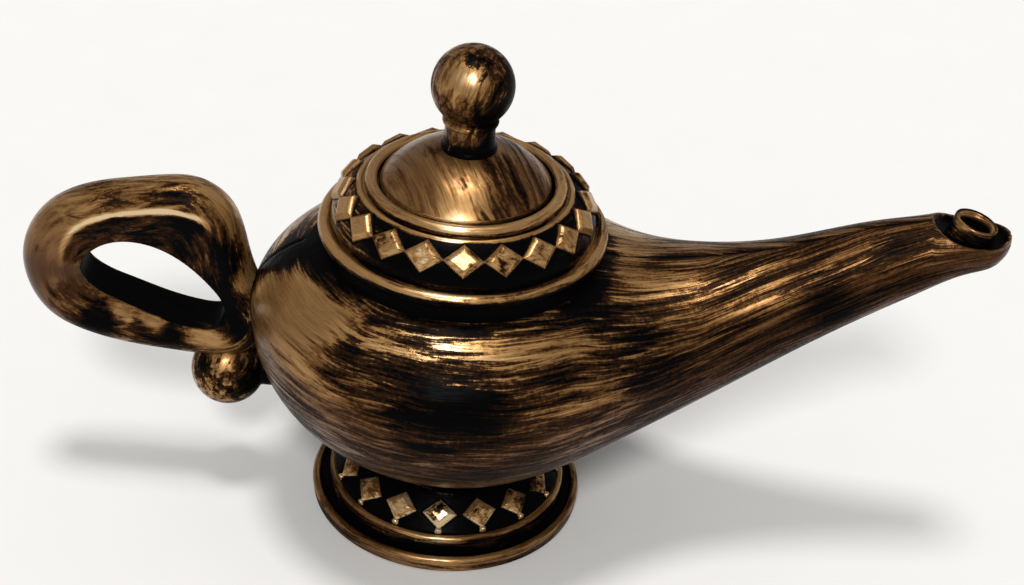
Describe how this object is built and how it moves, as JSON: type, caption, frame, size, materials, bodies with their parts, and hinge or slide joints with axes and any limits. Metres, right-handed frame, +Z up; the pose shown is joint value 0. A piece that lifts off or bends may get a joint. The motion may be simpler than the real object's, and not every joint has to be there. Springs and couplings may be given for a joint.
{
  "type": "genie oil lamp",
  "caption": "Genie oil lamp with a loop handle, a lift-off domed lid with a ball knob, a long upturned spout with an open wick nozzle, and diamond bands on lid and foot.",
  "frame": {"origin": "centre of the foot's underside, on the axis of the bowl and lid", "axes": "+X toward the spout, +Z up along the lid's axis, +Y away from the picture's viewer"},
  "size_m": [0.2545, 0.1088, 0.1371],
  "materials": {
    "gilt_plastic": "black moulded plastic, dry-brushed with antique gold",
    "steel": "zinc plated"
  },
  "bodies": {
    "lamp": {"body_front_shell": "gilt_plastic", "body_rear_shell": "gilt_plastic", "mouth_collar": "gilt_plastic", "wick_nozzle": "gilt_plastic", "handle_front_half": "gilt_plastic", "handle_rear_half": "gilt_plastic", "handle_ball": "gilt_plastic", "foot": "gilt_plastic", "foot_bolt": "steel", "foot_washer": "steel", "foot_nut": "steel"},
    "lid": {"lid_shell": "gilt_plastic", "knob": "gilt_plastic", "knob_washer": "steel", "knob_screw": "steel"}
  },
  "joints": [
    {"name": "lid_lift", "type": "slide", "parent": "lamp", "child": "lid", "axis": [0, 0, 1], "range_m": [0, 0.06]}
  ]
}
